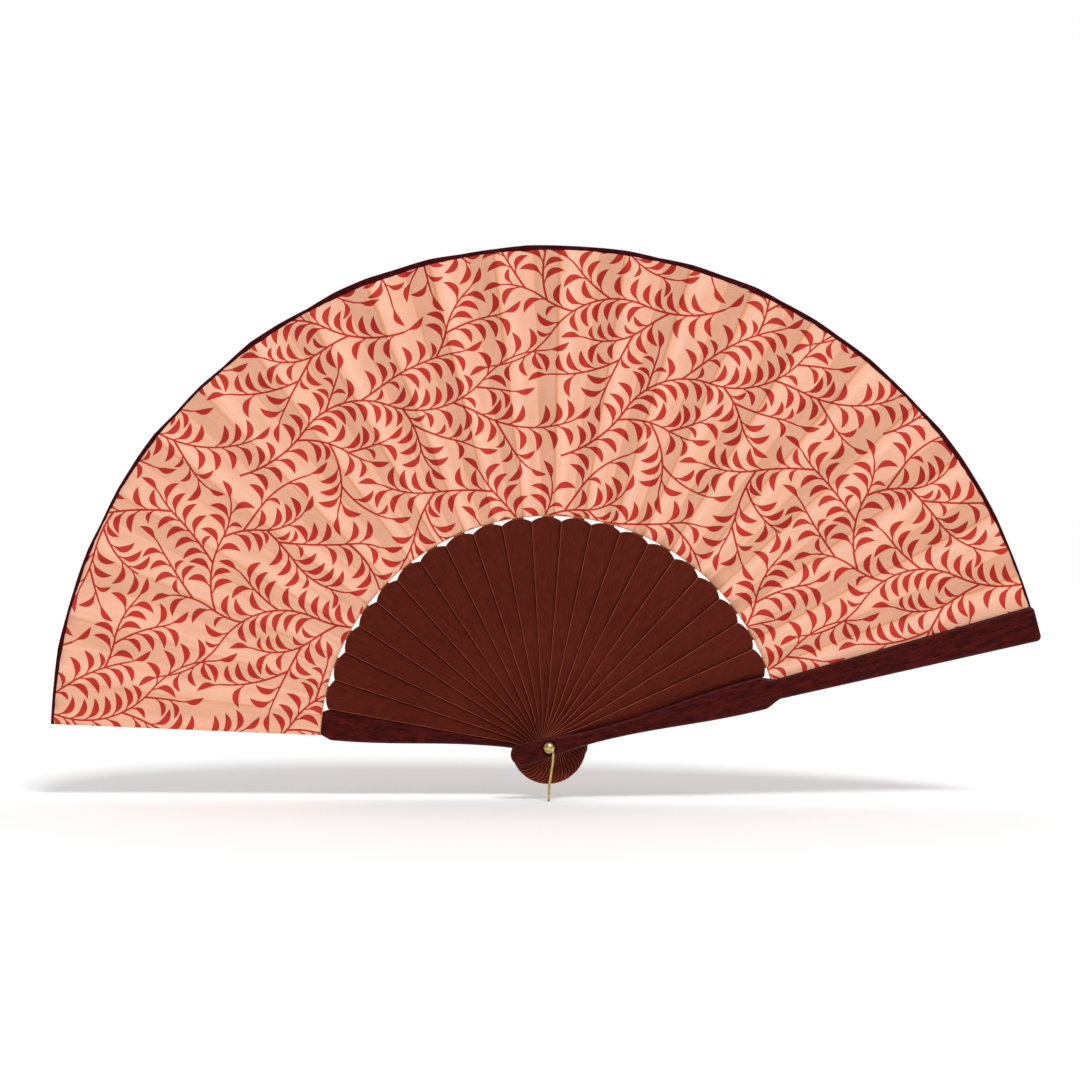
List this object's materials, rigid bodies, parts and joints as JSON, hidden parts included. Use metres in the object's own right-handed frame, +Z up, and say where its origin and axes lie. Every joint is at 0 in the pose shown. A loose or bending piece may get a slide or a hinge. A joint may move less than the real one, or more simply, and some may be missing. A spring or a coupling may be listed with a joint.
{
  "type": "folding hand fan",
  "caption": "Folding hand fan with dark wooden sticks and guards, a pleated printed cloth leaf, a brass rivet and a wire tassel loop.",
  "frame": {"origin": "on the rivet's axis at the middle of the folded pack's thickness", "axes": "+Y along the rivet from the fan's front to its back, so the printed front faces -Y; +Z up the open fan; +X towards the front guard"},
  "size_m": [0.4228, 0.0264, 0.2369],
  "materials": {
    "guard_wood": "satin, dark mahogany red",
    "rib_wood": "matt, reddish brown",
    "leaf_cloth": "thin peach cloth printed with a red vine",
    "binding_cloth": "dark burgundy tape",
    "brass": "aged, lightly polished"
  },
  "bodies": {
    "rear_guard": {"rear_guard": "guard_wood", "leaf_panel_rear": "leaf_cloth", "leaf_folds": "leaf_cloth", "edge_binding": "binding_cloth", "rivet_pin": "brass", "rivet_cap_front": "brass", "rivet_cap_back": "brass"},
    "front_guard": {"front_guard": "guard_wood", "leaf_panel_front": "leaf_cloth"},
    "rib_01": {"rib_01": "rib_wood", "leaf_panel_01": "leaf_cloth"},
    "rib_02": {"rib_02": "rib_wood", "leaf_panel_02": "leaf_cloth"},
    "rib_03": {"rib_03": "rib_wood", "leaf_panel_03": "leaf_cloth"},
    "rib_04": {"rib_04": "rib_wood", "leaf_panel_04": "leaf_cloth"},
    "rib_05": {"rib_05": "rib_wood", "leaf_panel_05": "leaf_cloth"},
    "rib_06": {"rib_06": "rib_wood", "leaf_panel_06": "leaf_cloth"},
    "rib_07": {"rib_07": "rib_wood", "leaf_panel_07": "leaf_cloth"},
    "rib_08": {"rib_08": "rib_wood", "leaf_panel_08": "leaf_cloth"},
    "rib_09": {"rib_09": "rib_wood", "leaf_panel_09": "leaf_cloth"},
    "rib_10": {"rib_10": "rib_wood", "leaf_panel_10": "leaf_cloth"},
    "rib_11": {"rib_11": "rib_wood", "leaf_panel_11": "leaf_cloth"},
    "rib_12": {"rib_12": "rib_wood", "leaf_panel_12": "leaf_cloth"},
    "rib_13": {"rib_13": "rib_wood", "leaf_panel_13": "leaf_cloth"},
    "rib_14": {"rib_14": "rib_wood", "leaf_panel_14": "leaf_cloth"},
    "rib_15": {"rib_15": "rib_wood", "leaf_panel_15": "leaf_cloth"},
    "rib_16": {"rib_16": "rib_wood", "leaf_panel_16": "leaf_cloth"},
    "rib_17": {"rib_17": "rib_wood", "leaf_panel_17": "leaf_cloth"},
    "rib_18": {"rib_18": "rib_wood", "leaf_panel_18": "leaf_cloth"},
    "rib_19": {"rib_19": "rib_wood", "leaf_panel_19": "leaf_cloth"},
    "rib_20": {"rib_20": "rib_wood", "leaf_panel_20": "leaf_cloth"},
    "tassel_loop": {"tassel_loop": "brass"}
  },
  "joints": [
    {"name": "fan_close", "type": "hinge", "parent": "rear_guard", "child": "front_guard", "pos_m": [0, 0, 0], "axis": [0, -1, 0], "range_deg": [0, 160.3], "deforming": ["leaf_folds", "edge_binding"]},
    {"name": "rib_01_turn", "type": "hinge", "parent": "rear_guard", "child": "rib_01", "pos_m": [0, 0, 0], "axis": [0, -1, 0], "range_deg": [0, 7.63]},
    {"name": "rib_02_turn", "type": "hinge", "parent": "rear_guard", "child": "rib_02", "pos_m": [0, 0, 0], "axis": [0, -1, 0], "range_deg": [0, 15.27]},
    {"name": "rib_03_turn", "type": "hinge", "parent": "rear_guard", "child": "rib_03", "pos_m": [0, 0, 0], "axis": [0, -1, 0], "range_deg": [0, 22.9]},
    {"name": "rib_04_turn", "type": "hinge", "parent": "rear_guard", "child": "rib_04", "pos_m": [0, 0, 0], "axis": [0, -1, 0], "range_deg": [0, 30.53]},
    {"name": "rib_05_turn", "type": "hinge", "parent": "rear_guard", "child": "rib_05", "pos_m": [0, 0, 0], "axis": [0, -1, 0], "range_deg": [0, 38.17]},
    {"name": "rib_06_turn", "type": "hinge", "parent": "rear_guard", "child": "rib_06", "pos_m": [0, 0, 0], "axis": [0, -1, 0], "range_deg": [0, 45.8]},
    {"name": "rib_07_turn", "type": "hinge", "parent": "rear_guard", "child": "rib_07", "pos_m": [0, 0, 0], "axis": [0, -1, 0], "range_deg": [0, 53.43]},
    {"name": "rib_08_turn", "type": "hinge", "parent": "rear_guard", "child": "rib_08", "pos_m": [0, 0, 0], "axis": [0, -1, 0], "range_deg": [0, 61.07]},
    {"name": "rib_09_turn", "type": "hinge", "parent": "rear_guard", "child": "rib_09", "pos_m": [0, 0, 0], "axis": [0, -1, 0], "range_deg": [0, 68.7]},
    {"name": "rib_10_turn", "type": "hinge", "parent": "rear_guard", "child": "rib_10", "pos_m": [0, 0, 0], "axis": [0, -1, 0], "range_deg": [0, 76.33]},
    {"name": "rib_11_turn", "type": "hinge", "parent": "rear_guard", "child": "rib_11", "pos_m": [0, 0, 0], "axis": [0, -1, 0], "range_deg": [0, 83.97]},
    {"name": "rib_12_turn", "type": "hinge", "parent": "rear_guard", "child": "rib_12", "pos_m": [0, 0, 0], "axis": [0, -1, 0], "range_deg": [0, 91.6]},
    {"name": "rib_13_turn", "type": "hinge", "parent": "rear_guard", "child": "rib_13", "pos_m": [0, 0, 0], "axis": [0, -1, 0], "range_deg": [0, 99.23]},
    {"name": "rib_14_turn", "type": "hinge", "parent": "rear_guard", "child": "rib_14", "pos_m": [0, 0, 0], "axis": [0, -1, 0], "range_deg": [0, 106.87]},
    {"name": "rib_15_turn", "type": "hinge", "parent": "rear_guard", "child": "rib_15", "pos_m": [0, 0, 0], "axis": [0, -1, 0], "range_deg": [0, 114.5]},
    {"name": "rib_16_turn", "type": "hinge", "parent": "rear_guard", "child": "rib_16", "pos_m": [0, 0, 0], "axis": [0, -1, 0], "range_deg": [0, 122.13]},
    {"name": "rib_17_turn", "type": "hinge", "parent": "rear_guard", "child": "rib_17", "pos_m": [0, 0, 0], "axis": [0, -1, 0], "range_deg": [0, 129.77]},
    {"name": "rib_18_turn", "type": "hinge", "parent": "rear_guard", "child": "rib_18", "pos_m": [0, 0, 0], "axis": [0, -1, 0], "range_deg": [0, 137.4]},
    {"name": "rib_19_turn", "type": "hinge", "parent": "rear_guard", "child": "rib_19", "pos_m": [0, 0, 0], "axis": [0, -1, 0], "range_deg": [0, 145.03]},
    {"name": "rib_20_turn", "type": "hinge", "parent": "rear_guard", "child": "rib_20", "pos_m": [0, 0, 0], "axis": [0, -1, 0], "range_deg": [0, 152.67]},
    {"name": "tassel_loop_swing", "type": "hinge", "parent": "rear_guard", "child": "tassel_loop", "pos_m": [0, 0, 0], "axis": [0, -1, 0], "range_deg": [-75, 75]}
  ],
  "couplings": [
    {"joint": "rib_01_turn", "follows": "fan_close", "ratio": 0.047619},
    {"joint": "rib_02_turn", "follows": "fan_close", "ratio": 0.095238},
    {"joint": "rib_03_turn", "follows": "fan_close", "ratio": 0.14286},
    {"joint": "rib_04_turn", "follows": "fan_close", "ratio": 0.19048},
    {"joint": "rib_05_turn", "follows": "fan_close", "ratio": 0.2381},
    {"joint": "rib_06_turn", "follows": "fan_close", "ratio": 0.28571},
    {"joint": "rib_07_turn", "follows": "fan_close", "ratio": 0.33333},
    {"joint": "rib_08_turn", "follows": "fan_close", "ratio": 0.38095},
    {"joint": "rib_09_turn", "follows": "fan_close", "ratio": 0.42857},
    {"joint": "rib_10_turn", "follows": "fan_close", "ratio": 0.47619},
    {"joint": "rib_11_turn", "follows": "fan_close", "ratio": 0.52381},
    {"joint": "rib_12_turn", "follows": "fan_close", "ratio": 0.57143},
    {"joint": "rib_13_turn", "follows": "fan_close", "ratio": 0.61905},
    {"joint": "rib_14_turn", "follows": "fan_close", "ratio": 0.66667},
    {"joint": "rib_15_turn", "follows": "fan_close", "ratio": 0.71429},
    {"joint": "rib_16_turn", "follows": "fan_close", "ratio": 0.7619},
    {"joint": "rib_17_turn", "follows": "fan_close", "ratio": 0.80952},
    {"joint": "rib_18_turn", "follows": "fan_close", "ratio": 0.85714},
    {"joint": "rib_19_turn", "follows": "fan_close", "ratio": 0.90476},
    {"joint": "rib_20_turn", "follows": "fan_close", "ratio": 0.95238}
  ]
}
